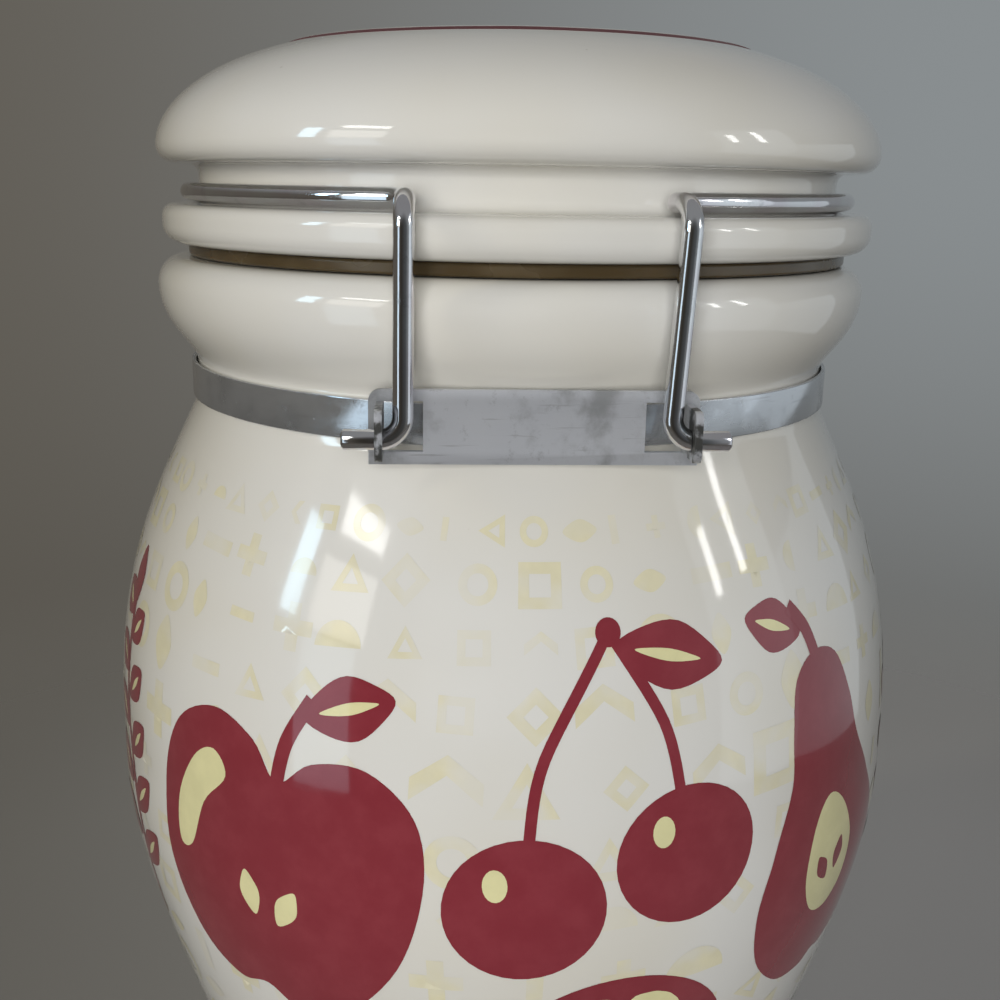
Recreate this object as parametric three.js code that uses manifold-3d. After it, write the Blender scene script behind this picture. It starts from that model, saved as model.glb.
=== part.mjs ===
import * as THREE from 'three';
import { mergeVertices } from 'three/addons/utils/BufferGeometryUtils.js';
import Module from 'manifold-3d';

const wasm = await Module();
wasm.setup();

// Storage jar with a wire-hinged lid, in millimetres: it stands on z = 0 and the hinge faces -Y

// Jar: foot, barrel, neck and collar
const footRadius = 57;
const footRound = 1.5;
const footRingWidth = 6.5;
const footRecess = 2;
const bellyRadius = 82.4;
const bellyHeight = 100;
const shoulderHeight = 165.7;
const neckRadius = 64.2;
const neckHeight = 7.6;
const neckWall = 6.2;
const collarOverhang = 6.8;
const collarFlare = 14.7;
const collarRoll = 5.2;
const rimSetback = 4.7;
const rimRound = 2;
const jarWall = 5.5;
const floorThickness = 7;
const floorRound = 7;
const lowerBulgeShares = [1.13, 0.743];
const lowerTopShare = 0.863;
const upperBulgeShare = 0.503;
const upperNeckShares = [0.467, 0.729];
const collarNeckShares = [0.03, 0.21];
const collarSwellShare = 0.46;
const collarRollShares = [0.55, 0.55];

// Lid: plug, flange, wire groove and dome
const gasketThickness = 2.3;
const gasketSetback = 0.3;
const gasketBoreGap = 0.3;
const gasketRound = 0.6;
const gasketSeat = 0.15;
const plugGap = 3.2;
const plugTaper = 4.5;
const plugDepth = 7;
const plugWall = 4.5;
const plugRound = 1.5;
const flangeSetback = 0.2;
const flangeHeight = 7.3;
const flangeRound = 2.4;
const flangeUnderRound = 3.4;
const grooveDepth = 7.2;
const grooveHeight = 7.4;
const grooveFillet = 2;
const domeOverhang = 0.4;
const domeHeight = 25.2;
const domeEdge = 3.3;
const domeSidePower = 3.18;
const domeTopPower = 1.81;
const crownSetback = 25.4;
const crownEdge = 1.6;
const crownStep = 0.75;
const crownRise = 1.2;
const crownShares = [0.67, 0.33];
const lidWall = 5;
const lidShift = 1.1;

// Neck strap and the two stamped brackets
const strapThickness = 0.8;
const strapGap = 0.3;
const strapOpening = 2;
const plateWidth = 53.2;
const plateHeight = 12.15;
const plateDrop = 1.85;
const plateThickness = 1.2;
const plateRound = 2;
const plateGap = 0.3;
const windowWidth = 6.2;
const windowHeight = 8.15;
const windowDrop = 0.25;
const earGap = 1.45;
const earThickness = 1.2;
const earReach = 3.6;
const earRound = 1.5;
const pinHeight = 3.3;
const pinGap = 0.2;
const overrun = 1;

// Wires
const wireRadius = 1.65;
const wireBend = 3;
const wireSeat = 0.3;
const legSpread = 21;
const legLean = 1.7;
const legDrift = 1.1;
const legBend = 3.6;
const legGap = 3.15;
const kneeSpread = 20.8;
const kneeDrift = 0.25;
const kneeBend = 4.5;
const groovePlace = 2.2;
const stubReach = 10.5;
const catchRadius = 1.4;
const catchBend = 4;
const catchGap = 0.9;
const barGap = 0.3;
const barInset = 1.9;
const hangGap = 0.4;

// Clamp lever with one-turn eyes
const leverLength = 36;
const leverStub = 0.3;
const leverShut = 15;
const leverOpen = 173;
const leverKick = 10;
const kickPlace = 18;
const eyePlace = 8;
const eyeRadius = 3.5;
const eyePitch = 3.6;
const loopWidth = 24;

// Facets
const turnFacets = 48;
const outerFacets = 7;
const innerFacets = 5;
const domeFacets = 9;
const arcFacets = 3;
const wireFacets = 5;
const bendStep = 16;
const ringStep = 8;
const coilStep = 22.5;

// Radii worked out from the neck's
const collarRadius = neckRadius + collarOverhang;
const rimRadius = collarRadius - rimSetback;
const mouthRadius = neckRadius - neckWall;
const gasketRadius = rimRadius - gasketSetback;
const plugRadius = mouthRadius - plugGap;
const flangeRadius = collarRadius - flangeSetback;
const grooveRadius = flangeRadius - grooveDepth;
const domeRadius = collarRadius + domeOverhang;
const crownRadius = domeRadius - crownSetback;
const crownFoot = crownRadius + crownEdge;

// Heights and reaches worked out from the sizes
const collarBase = shoulderHeight + neckHeight;
const collarWaist = collarBase + collarFlare;
const rimHeight = collarWaist + collarRoll;
const flangeBase = rimHeight + gasketThickness + 2 * gasketSeat;
const grooveBase = flangeBase + flangeHeight;
const domeBase = grooveBase + grooveHeight;
const domeSide = domeBase + domeEdge;
const domeSwell = domeHeight - domeEdge;
const crownShare = (1 - (crownFoot / domeRadius) ** domeSidePower) ** (1 / domeTopPower);
const crownHeight = domeSide + domeSwell * crownShare + crownStep;
const lidTop = crownHeight + crownRise;
const ringHeight = grooveBase + groovePlace;
const ringRadius = grooveRadius + wireSeat + wireRadius;
const strapRadius = neckRadius + strapGap;
const strapOuter = strapRadius + strapThickness;
const plateBase = shoulderHeight - plateDrop;
const plateTop = plateBase + plateHeight;
const earInner = legSpread + wireRadius + earGap;
const earOuter = earInner + earThickness;
const pinReach = Math.sqrt(collarRadius ** 2 - legSpread ** 2) + wireRadius + legGap;
const pinLevel = shoulderHeight + pinHeight;
const catchSpread = earOuter + catchGap + catchRadius;
const degrees = Math.PI / 180;

const glaze = { color: 0xeee7d8, roughness: 0.18, metalness: 0 };
const strapSteel = { color: 0xa9adaf, roughness: 0.4, metalness: 1 };
const brightWire = { color: 0xc8cbce, roughness: 0.16, metalness: 1 };
const brownRubber = { color: 0x4b3127, roughness: 0.55, metalness: 0 };

// Curves of the outlines, in radius and height
function cubic(start, pull, draw, end, steps) {
  const curve = new THREE.CubicBezierCurve(start, pull, draw, end);
  return curve.getPoints(steps);
}

function at(radius, height) {
  return new THREE.Vector2(radius, height);
}

function round(centre, radius, from, to, steps = arcFacets) {
  const points = [];
  for (let i = 0; i <= steps; i += 1) {
    const angle = THREE.MathUtils.lerp(from, to, i / steps) * degrees;
    points.push(at(centre.x + radius * Math.cos(angle), centre.y + radius * Math.sin(angle)));
  }
  return points;
}

function barrel(foot, belly, neck, base, steps = outerFacets) {
  const bulge = belly - foot;
  const swell = belly - neck;
  const lowHeight = bellyHeight - base;
  const highHeight = shoulderHeight - bellyHeight;
  const lower = cubic(
    at(foot, base),
    at(foot + bulge * lowerBulgeShares[0], base + lowHeight * lowerBulgeShares[1]),
    at(belly, base + lowHeight * lowerTopShare),
    at(belly, bellyHeight),
    steps,
  );
  const upper = cubic(
    at(belly, bellyHeight),
    at(belly, bellyHeight + highHeight * upperBulgeShare),
    at(neck + swell * upperNeckShares[0], bellyHeight + highHeight * upperNeckShares[1]),
    at(neck, shoulderHeight),
    steps,
  );
  return [...lower, ...upper.slice(1)];
}

function collar() {
  const flare = collarRadius - neckRadius;
  const roll = collarRadius - rimRadius;
  const under = cubic(
    at(neckRadius, collarBase),
    at(neckRadius + flare * collarNeckShares[0], collarBase + collarFlare * collarNeckShares[1]),
    at(collarRadius, collarBase + collarFlare * collarSwellShare),
    at(collarRadius, collarWaist),
    innerFacets,
  );
  const over = cubic(
    at(collarRadius, collarWaist),
    at(collarRadius, collarWaist + collarRoll * collarRollShares[0]),
    at(rimRadius + roll * collarRollShares[1], rimHeight),
    at(rimRadius, rimHeight),
    arcFacets,
  );
  return [...under, ...over.slice(1)];
}

// Largest radius of the jar's outside between two heights
function widest(low, high) {
  const outside = [...barrel(footRadius, bellyRadius, neckRadius, footRound), ...collar()];
  const between = (height) => {
    const above = outside.findIndex((point) => point.y >= height);
    const next = outside[above];
    const last = outside[Math.max(above - 1, 0)];
    const rise = next.y - last.y;
    return rise > 0 ? THREE.MathUtils.mapLinear(height, last.y, next.y, last.x, next.x) : next.x;
  };
  const inside = outside.filter((point) => point.y > low && point.y < high);
  return Math.max(between(low), between(high), ...inside.map((point) => point.x));
}

function lathe(points) {
  const geometry = new THREE.LatheGeometry(points, turnFacets);
  return geometry.rotateX(Math.PI / 2);
}

// Jar of one thrown wall: ring foot, barrel, neck and rolled collar
function jarBody() {
  const ringInner = footRadius - footRound - footRingWidth;
  const inner = mouthRadius + rimRound;
  const bowlRadius = footRadius - jarWall;
  const bowlBelly = bellyRadius - jarWall;
  const bowlBase = floorThickness + floorRound;
  const bowl = barrel(bowlRadius, bowlBelly, mouthRadius, bowlBase, innerFacets);
  return lathe([
    at(0, footRecess),
    at(ringInner, footRecess),
    at(ringInner + footRecess, 0),
    ...round(at(footRadius - footRound, footRound), footRound, -90, 0, 2),
    ...barrel(footRadius, bellyRadius, neckRadius, footRound).slice(1),
    ...collar(),
    ...round(at(inner, rimHeight - rimRound), rimRound, 90, 180),
    ...bowl.reverse(),
    ...round(at(bowlRadius - floorRound, floorThickness + floorRound), floorRound, 0, -90).slice(1),
    at(0, floorThickness),
  ]);
}

// Lid: hollow dome with a low raised crown, over a wire groove, a flange and the tapered plug
function lidBody() {
  const plugFoot = flangeBase - plugDepth;
  const plugTip = plugRadius - plugTaper;
  const plugInner = plugTip - plugWall;
  const roof = lidTop - lidWall;
  const hollow = grooveRadius - lidWall;
  const underRadius = flangeRadius - flangeUnderRound;
  const sweep = Math.acos((crownFoot / domeRadius) ** (domeSidePower / 2));
  const dome = [];
  for (let i = 0; i <= domeFacets; i += 1) {
    const turn = (sweep * i) / domeFacets;
    const reach = Math.cos(turn) ** (2 / domeSidePower);
    const rise = Math.sin(turn) ** (2 / domeTopPower);
    dome.push(at(domeRadius * reach, domeSide + domeSwell * rise));
  }
  const crown = cubic(
    at(crownRadius, crownHeight),
    at(crownRadius * crownShares[0], crownHeight + crownRise * crownShares[0]),
    at(crownRadius * crownShares[1], lidTop),
    at(0, lidTop),
    arcFacets,
  );
  return lathe([
    at(0, roof),
    ...cubic(
      at(hollow / 2, roof),
      at(hollow, roof),
      at(hollow, domeBase),
      at(hollow, grooveBase),
      innerFacets,
    ),
    at(plugInner, flangeBase),
    ...round(at(plugInner + plugRound, plugFoot + plugRound), plugRound, 180, 270),
    ...round(at(plugTip - plugRound, plugFoot + plugRound), plugRound, -90, 0),
    at(plugRadius, flangeBase),
    ...round(at(underRadius, flangeBase + flangeUnderRound), flangeUnderRound, -90, 0),
    ...round(at(flangeRadius - flangeRound, grooveBase - flangeRound), flangeRound, 0, 90),
    ...round(at(grooveRadius + grooveFillet, grooveBase + grooveFillet), grooveFillet, 270, 180),
    ...round(at(grooveRadius + grooveFillet, domeBase - grooveFillet), grooveFillet, 180, 90),
    ...round(at(domeRadius - domeEdge, domeSide), domeEdge, -90, 0).slice(0, -1),
    ...dome,
    ...crown,
  ]);
}

// Flat rubber ring between rim and flange
function gasketRing() {
  const low = rimHeight + gasketSeat;
  const high = low + gasketThickness;
  const bore = plugRadius + gasketBoreGap;
  return lathe([
    at(bore, low),
    ...round(at(gasketRadius - gasketRound, low + gasketRound), gasketRound, -90, 0, 2),
    ...round(at(gasketRadius - gasketRound, high - gasketRound), gasketRound, 0, 90, 2),
    at(bore, high),
    at(bore, low),
  ]);
}

// Sheet-steel band round the neck, its ends meeting behind the latch bracket
function neckStrap() {
  const opening = strapOpening / (2 * strapRadius);
  const from = Math.PI / 2 + opening;
  const to = Math.PI / 2 - opening + 2 * Math.PI;
  const band = new THREE.Shape();
  band.absarc(0, 0, strapOuter, from, to, false);
  band.absarc(0, 0, strapRadius, to, from, true);
  band.closePath();
  const height = neckHeight - 2 * strapGap;
  const geometry = new THREE.ExtrudeGeometry(band, {
    depth: height,
    bevelEnabled: false,
    curveSegments: turnFacets,
  });
  return geometry.translate(0, 0, shoulderHeight + strapGap);
}

// Closed solids for cuts and joins
function solid(geometry) {
  const bare = geometry.clone();
  bare.deleteAttribute('normal');
  bare.deleteAttribute('uv');
  const merged = mergeVertices(bare);
  return new wasm.Manifold(new wasm.Mesh({
    numProp: 3,
    vertProperties: Float32Array.from(merged.attributes.position.array),
    triVerts: Uint32Array.from(merged.index.array),
  }));
}

function surface(body) {
  const mesh = body.getMesh();
  const geometry = new THREE.BufferGeometry();
  geometry.setAttribute('position', new THREE.BufferAttribute(mesh.vertProperties, 3));
  geometry.setIndex(new THREE.BufferAttribute(mesh.triVerts, 1));
  geometry.computeVertexNormals();
  return geometry;
}

// Stamped plate with two windows, whose tabs stand out as ears with the pin holes
const plateBack = Math.max(
  strapOuter,
  widest(plateBase - plateGap, plateTop + plateGap),
) + plateGap;

function bracket() {
  const half = plateWidth / 2;
  const plate = new THREE.Shape();
  plate.moveTo(-half, plateBase);
  plate.lineTo(half, plateBase);
  plate.absarc(half - plateRound, plateTop - plateRound, plateRound, 0, Math.PI / 2, false);
  plate.absarc(plateRound - half, plateTop - plateRound, plateRound, Math.PI / 2, Math.PI, false);
  plate.closePath();
  const windowBase = shoulderHeight + windowDrop;
  const windowTop = windowBase + windowHeight;
  const sheet = { depth: plateThickness, bevelEnabled: false, curveSegments: arcFacets };
  const flat = new THREE.ExtrudeGeometry(plate, sheet).rotateX(Math.PI / 2);
  let body = solid(flat.translate(0, -plateBack, 0));
  for (const side of [-1, 1]) {
    const cut = new THREE.BoxGeometry(windowWidth, plateThickness + 2 * overrun, windowHeight);
    const middle = side * (earInner - windowWidth / 2);
    cut.translate(middle, -plateBack - plateThickness / 2, (windowBase + windowTop) / 2);
    body = body.subtract(solid(cut));
  }

  const earTip = pinReach + earReach;
  const ear = new THREE.Shape();
  ear.moveTo(plateBack, windowTop);
  ear.lineTo(plateBack, windowBase);
  ear.absarc(earTip - earRound, windowBase + earRound, earRound, -Math.PI / 2, 0, false);
  ear.absarc(earTip - earRound, windowTop - earRound, earRound, 0, Math.PI / 2, false);
  ear.closePath();
  const hole = new THREE.Path();
  hole.absarc(pinReach, pinLevel, wireRadius + pinGap, 0, 2 * Math.PI, true);
  ear.holes.push(hole);
  const tab = { depth: earThickness, bevelEnabled: false, curveSegments: outerFacets };
  for (const reach of [earOuter, -earInner]) {
    const lug = new THREE.ExtrudeGeometry(ear, tab).rotateX(Math.PI / 2).rotateZ(-Math.PI / 2);
    body = body.add(solid(lug.translate(reach, 0, 0)));
  }
  return surface(body);
}

// Wire's centre line through stations set by hand, with one ring of facets at each
class WireLine extends THREE.Curve {
  constructor(stations) {
    super();
    this.stations = stations;
  }

  getPoint(share) {
    const last = this.stations.length - 1;
    return this.stations[Math.round(share * last)].clone();
  }

  getPointAt(share) {
    return this.getPoint(share);
  }

  getTangentAt(share) {
    const last = this.stations.length - 1;
    const place = Math.round(share * last);
    const here = this.stations[place];
    const tangent = new THREE.Vector3();
    if (place > 0) tangent.add(here.clone().sub(this.stations[place - 1]).normalize());
    if (place < last) tangent.add(this.stations[place + 1].clone().sub(here).normalize());
    return tangent.normalize();
  }
}

function spot(x, y, z) {
  return new THREE.Vector3(x, y, z);
}

// Corners with a bend radius become arcs, and the other stations stay as they are
function bent(corners) {
  const stations = [];
  corners.forEach((corner, i) => {
    if (!corner.bend) {
      stations.push(corner.place);
      return;
    }
    const into = corner.place.clone().sub(corners[i - 1].place).normalize();
    const out = corners[i + 1].place.clone().sub(corner.place).normalize();
    const turn = into.angleTo(out);
    const setback = corner.bend * Math.tan(turn / 2);
    const start = corner.place.clone().addScaledVector(into, -setback);
    const inward = out.clone().addScaledVector(into, -out.dot(into)).normalize();
    const steps = Math.max(2, Math.ceil(turn / (bendStep * degrees)));
    for (let step = 0; step <= steps; step += 1) {
      const angle = (turn * step) / steps;
      const point = start.clone().addScaledVector(into, corner.bend * Math.sin(angle));
      stations.push(point.addScaledVector(inward, corner.bend * (1 - Math.cos(angle))));
    }
  });
  return stations;
}

function wire(stations, radius) {
  const section = new THREE.Shape();
  section.absarc(0, 0, radius, 0, 2 * Math.PI, false);
  return new THREE.ExtrudeGeometry(section, {
    steps: stations.length - 1,
    curveSegments: wireFacets,
    extrudePath: new WireLine(stations),
  });
}

// Lid wire in the hinge's frame: a ring in the groove, then forward, down and out through the ears
function lidWire() {
  const ringLevel = ringHeight - pinLevel;
  const legTop = legSpread + legLean / 2;
  const kneeAngle = (side) => Math.asin((side * kneeSpread + kneeDrift - lidShift) / ringRadius);
  const endAngle = (side) => kneeAngle(side) + (side * kneeBend) / ringRadius;
  const from = endAngle(1);
  const to = endAngle(-1) + 2 * Math.PI;
  const steps = Math.round((to - from) / (ringStep * degrees));
  const corners = [];
  const leg = (side) => {
    const angle = endAngle(side);
    const knee = side * kneeSpread + kneeDrift;
    const run = (knee - lidShift - ringRadius * Math.sin(angle)) / Math.cos(angle);
    const kneeReach = ringRadius * Math.cos(angle) - run * Math.sin(angle);
    return [
      { place: spot(side * (earOuter + stubReach / 2), 0, 0) },
      { place: spot(side * legSpread, 0, 0), bend: legBend },
      { place: spot(side * legTop + legDrift, 0, ringLevel), bend: kneeBend },
      { place: spot(knee, pinReach - kneeReach, ringLevel), bend: kneeBend },
    ];
  };
  corners.push(...leg(1));
  for (let i = 0; i <= steps; i += 1) {
    const angle = THREE.MathUtils.lerp(from, to, i / steps);
    const y = pinReach - ringRadius * Math.cos(angle);
    corners.push({ place: spot(lidShift + ringRadius * Math.sin(angle), y, ringLevel) });
  }
  corners.push(...leg(-1).reverse());
  return wire(bent(corners), wireRadius);
}

// Clamp lever in its own frame: pivot stubs, one-turn eyes for the catch and a finger loop
function clampLever() {
  const tongue = (x, along) => {
    const rise = Math.max(along - kickPlace, 0) * Math.tan(leverKick * degrees);
    return spot(x, rise, -along);
  };
  const inner = legSpread - eyePitch;
  const loop = loopWidth / 2;
  const arm = (side) => {
    const corners = [
      { place: spot(side * (earOuter + leverStub), 0, 0) },
      { place: spot(side * legSpread, 0, 0), bend: wireBend },
    ];
    const turns = 2 * Math.PI;
    const steps = Math.round(turns / (coilStep * degrees));
    for (let i = 0; i <= steps; i += 1) {
      const angle = (turns * i) / steps;
      const x = side * (legSpread - (eyePitch * i) / steps);
      const y = eyeRadius * (Math.cos(angle) - 1);
      corners.push({ place: spot(x, y, -eyePlace - eyeRadius * Math.sin(angle)) });
    }
    corners.push({ place: tongue(side * inner, eyePlace + wireBend), bend: wireBend });
    corners.push({ place: tongue(side * loop, kickPlace), bend: 2 * wireBend });
    return corners;
  };
  const tip = [];
  const tipSteps = Math.round(180 / coilStep);
  for (let i = 0; i <= tipSteps; i += 1) {
    const angle = (Math.PI * i) / tipSteps;
    const along = leverLength - loop + loop * Math.sin(angle);
    tip.push({ place: tongue(loop * Math.cos(angle), along) });
  }
  return wire(bent([...arm(1), ...tip, ...arm(-1).reverse()]), wireRadius);
}

// Where the catch's pins and crossbar stand when the clamp is shut
function eyeAt(angle) {
  const y = pinReach + eyePlace * Math.sin(angle) - eyeRadius * Math.cos(angle);
  const z = pinLevel - eyePlace * Math.cos(angle) - eyeRadius * Math.sin(angle);
  return at(y, z);
}

const shutEye = eyeAt(leverShut * degrees);
const shutBar = at(
  grooveRadius + barInset + catchRadius,
  ringHeight + wireRadius + barGap + catchRadius,
);
const catchLength = shutEye.distanceTo(shutBar);
const openEye = eyeAt(leverOpen * degrees);

// Angle from straight down at which the free catch hangs just clear of the shoulder
function hangAngle() {
  let angle = 0;
  for (let pass = 0; pass < arcFacets; pass += 1) {
    const level = openEye.y - catchLength * Math.cos(angle);
    const reach = widest(level - catchRadius, level + catchRadius) + hangGap + catchRadius;
    angle = Math.asin((reach - openEye.x) / catchLength);
  }
  return angle;
}

// Wire catch in its own frame: pins through the eyes, two legs and a straight crossbar
function clampCatch() {
  const pinEnd = legSpread - eyePitch - wireRadius - barGap;
  const leg = (side) => [
    { place: spot(side * pinEnd, 0, 0) },
    { place: spot(side * catchSpread, 0, 0), bend: wireBend },
    { place: spot(side * catchSpread, 0, -catchLength), bend: catchBend },
  ];
  return wire(bent([...leg(1), ...leg(-1).reverse()]), catchRadius);
}

function piece(name, geometry, look) {
  const mesh = new THREE.Mesh(geometry, new THREE.MeshStandardMaterial(look));
  mesh.name = name;
  return mesh;
}

const canister = new THREE.Group();
canister.add(piece('jar_body', jarBody(), glaze));
canister.add(piece('neck_strap', neckStrap(), strapSteel));
canister.add(piece('hinge_bracket', bracket(), strapSteel));
const latchBracket = piece('latch_bracket', bracket(), strapSteel);
latchBracket.rotation.z = Math.PI;
canister.add(latchBracket);

const lidGroup = new THREE.Group();
lidGroup.position.set(0, -pinReach, pinLevel);
const lid = piece('lid', lidBody(), glaze);
const gasket = piece('gasket', gasketRing(), brownRubber);
for (const seated of [lid, gasket]) {
  seated.position.set(lidShift, pinReach, -pinLevel);
  lidGroup.add(seated);
}
lidGroup.add(piece('lid_wire', lidWire(), brightWire));
canister.add(lidGroup);

const leverGroup = new THREE.Group();
leverGroup.position.set(0, pinReach, pinLevel);
leverGroup.rotation.x = leverOpen * degrees;
leverGroup.add(piece('clamp_lever', clampLever(), brightWire));
const catchGroup = new THREE.Group();
catchGroup.position.set(0, -eyeRadius, -eyePlace);
catchGroup.rotation.x = hangAngle() - leverGroup.rotation.x;
catchGroup.add(piece('clamp_catch', clampCatch(), brightWire));
leverGroup.add(catchGroup);
canister.add(leverGroup);

export default canister;
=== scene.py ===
import math

import bmesh
import bpy
import numpy as np
from mathutils import Matrix, Vector
from mathutils.geometry import tessellate_polygon


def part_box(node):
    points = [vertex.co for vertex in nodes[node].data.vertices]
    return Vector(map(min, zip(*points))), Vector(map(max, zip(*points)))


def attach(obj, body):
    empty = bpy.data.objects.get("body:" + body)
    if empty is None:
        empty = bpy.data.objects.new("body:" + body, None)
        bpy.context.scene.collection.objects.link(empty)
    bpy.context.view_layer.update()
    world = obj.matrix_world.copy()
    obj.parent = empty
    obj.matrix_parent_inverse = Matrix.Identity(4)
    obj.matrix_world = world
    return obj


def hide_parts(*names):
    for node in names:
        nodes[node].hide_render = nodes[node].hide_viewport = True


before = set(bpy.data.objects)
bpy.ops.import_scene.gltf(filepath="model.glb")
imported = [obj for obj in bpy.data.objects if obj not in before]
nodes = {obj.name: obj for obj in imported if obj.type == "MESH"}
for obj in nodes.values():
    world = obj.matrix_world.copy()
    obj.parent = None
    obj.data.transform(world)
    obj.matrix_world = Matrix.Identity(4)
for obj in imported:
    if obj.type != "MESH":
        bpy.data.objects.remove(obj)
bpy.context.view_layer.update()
rad = math.radians


# Shader maths: a socket that can be added, multiplied and compared
class Sock:
    def __init__(self, shader, socket):
        self.shader = shader
        self.socket = socket

    def calc(self, operation, first, second):
        return self.shader.node("ShaderNodeMath", {"operation": operation}, {0: first, 1: second})

    def __add__(self, other):
        return self.calc("ADD", self, other)

    def __radd__(self, other):
        return self.calc("ADD", other, self)

    def __sub__(self, other):
        return self.calc("SUBTRACT", self, other)

    def __rsub__(self, other):
        return self.calc("SUBTRACT", other, self)

    def __mul__(self, other):
        return self.calc("MULTIPLY", self, other)

    def __rmul__(self, other):
        return self.calc("MULTIPLY", other, self)

    def __pow__(self, other):
        return self.calc("POWER", self, other)

    def __gt__(self, other):
        return self.calc("GREATER_THAN", self, other)

    def ramp(self, low, high, toLow=0.0, toHigh=1.0):  # eased step between two values
        return self.shader.node(
            "ShaderNodeMapRange", {"interpolation_type": "SMOOTHSTEP"},
            {"Value": self, "From Min": low, "From Max": high, "To Min": toLow, "To Max": toHigh})


class Shader:
    def __init__(self, owner):  # a new material's name, or the world
        self.owner = bpy.data.materials.new(owner) if isinstance(owner, str) else owner
        self.owner.use_nodes = True
        self.tree = self.owner.node_tree
        self.tree.nodes.clear()

    def node(self, kind, settings=None, sockets=None, out=0):
        made = self.tree.nodes.new(kind)
        for key, value in (settings or {}).items():
            setattr(made, key, value)
        for key, value in (sockets or {}).items():
            target = made.inputs[key]
            if isinstance(value, Sock):
                self.tree.links.new(value.socket, target)
            elif target.type == "RGBA" and len(value) == 3:
                target.default_value = (*value, 1.0)
            elif target.type != "SHADER":
                target.default_value = value
        return None if out is None else Sock(self, made.outputs[out])

    def place(self):  # object coordinates, in metres
        return self.node("ShaderNodeTexCoord", out="Object")

    def split(self, vector):
        made = self.node("ShaderNodeSeparateXYZ", None, {0: vector})
        outputs = made.socket.node.outputs
        return [Sock(self, outputs[axis]) for axis in range(3)]

    # size is that of a blotch, in metres
    def noise(self, size, detail=3.0, roughness=0.5, squash=(1, 1, 1)):
        stretched = self.node(
            "ShaderNodeVectorMath", {"operation": "MULTIPLY"}, {0: self.place(), 1: squash})
        return self.node(
            "ShaderNodeTexNoise", None,
            {"Vector": stretched, "Scale": 1 / size, "Detail": detail, "Roughness": roughness})

    def cells(self, size, out):
        return self.node("ShaderNodeTexVoronoi", None, {"Vector": self.place(), "Scale": 1 / size}, out=out)

    def blend(self, share, first, second):
        return self.node("ShaderNodeMix", {"data_type": "RGBA"}, {0: share, 6: first, 7: second}, out=2)

    def bump(self, height, depth, below=None):
        sockets = {"Height": height, "Distance": depth, "Strength": 1.0}
        if below:
            sockets["Normal"] = below
        return self.node("ShaderNodeBump", None, sockets)

    def finish(self, **sockets):
        values = {key.replace("_", " "): value for key, value in sockets.items()}
        surface = self.node("ShaderNodeBsdfPrincipled", None, values)
        self.node("ShaderNodeOutputMaterial", None, {"Surface": surface}, out=None)
        return self.owner


# Camera: a little left of the hinge and above the rim, looking down into the shoulder
camera = {
    "distance": 0.260,
    "height": 0.2079,
    "azimuth": -3.8,
    "pitch": 14.535,
    "roll": 1.0,
    "yaw": 0.276,
    "lens": 44.1,
    "sensor": 36.0,
    "near": 0.01,
}


def setCamera():
    data = bpy.data.cameras.new("camera")
    data.lens = camera["lens"]
    data.sensor_width = camera["sensor"]
    data.clip_start = camera["near"]
    seen = bpy.data.objects.new("camera", data)
    bpy.context.collection.objects.link(seen)
    turn = rad(camera["azimuth"])
    spot = Vector((math.sin(turn), -math.cos(turn), 0)) * camera["distance"]
    spot.z = camera["height"]
    heading = Matrix.Rotation(turn + rad(camera["yaw"]), 4, "Z")
    tilt = Matrix.Rotation(rad(90 - camera["pitch"]), 4, "X")
    roll = Matrix.Rotation(rad(camera["roll"]), 4, "Z")
    seen.matrix_world = Matrix.Translation(spot) @ heading @ tilt @ roll
    bpy.context.scene.camera = seen


setCamera()
print("camera set")


# Sizes that the pieces share, in metres
jar = {
    "footRadius": 0.057, "footRound": 0.0015, "footRing": 0.0065, "footRecess": 0.002,
    "bellyRadius": 0.0823, "bellyHeight": 0.100, "shoulderHeight": 0.1657,
    "neckRadius": 0.0642, "neckHeight": 0.0076,
    "collarRadius": 0.071, "collarFlare": 0.0147, "collarRoll": 0.0052,
    "rimRadius": 0.0663, "rimRound": 0.002, "mouthRadius": 0.058,
    "wall": 0.0055, "floor": 0.007, "floorRound": 0.007,
}
# How far each curve of the jar pulls, as shares of its stretch
pulls = {
    "footPull": 1.13, "lowPull": 0.743, "lowDraw": 0.863,
    "highPull": 0.503, "neckDraw": 0.467, "highDraw": 0.729,
    "collarOut": 0.03, "collarPull": 0.21, "collarDraw": 0.46, "rollPull": 0.55,
}
lid = {
    "gasket": 0.0023, "gasketRadius": 0.066, "gasketRound": 0.0006, "gasketBore": 0.0551, "seat": 0.00015,
    "plugRadius": 0.0548, "plugTaper": 0.0045, "plugDepth": 0.007, "plugWall": 0.0045, "plugRound": 0.0015,
    "flangeRadius": 0.0708, "flangeHeight": 0.0073, "flangeRound": 0.0024, "underRound": 0.0034,
    "grooveRadius": 0.0636, "grooveHeight": 0.0074, "grooveFillet": 0.002,
    "domeRadius": 0.0714, "domeHeight": 0.0252, "domeEdge": 0.0033, "sidePower": 3.18, "topPower": 1.81,
    "crownRadius": 0.046, "crownEdge": 0.0016, "crownStep": 0.00075, "crownRise": 0.0012,
    "crownPullShare": 0.67, "crownDrawShare": 0.33, "wall": 0.005, "shift": 0.0011,
}
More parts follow.
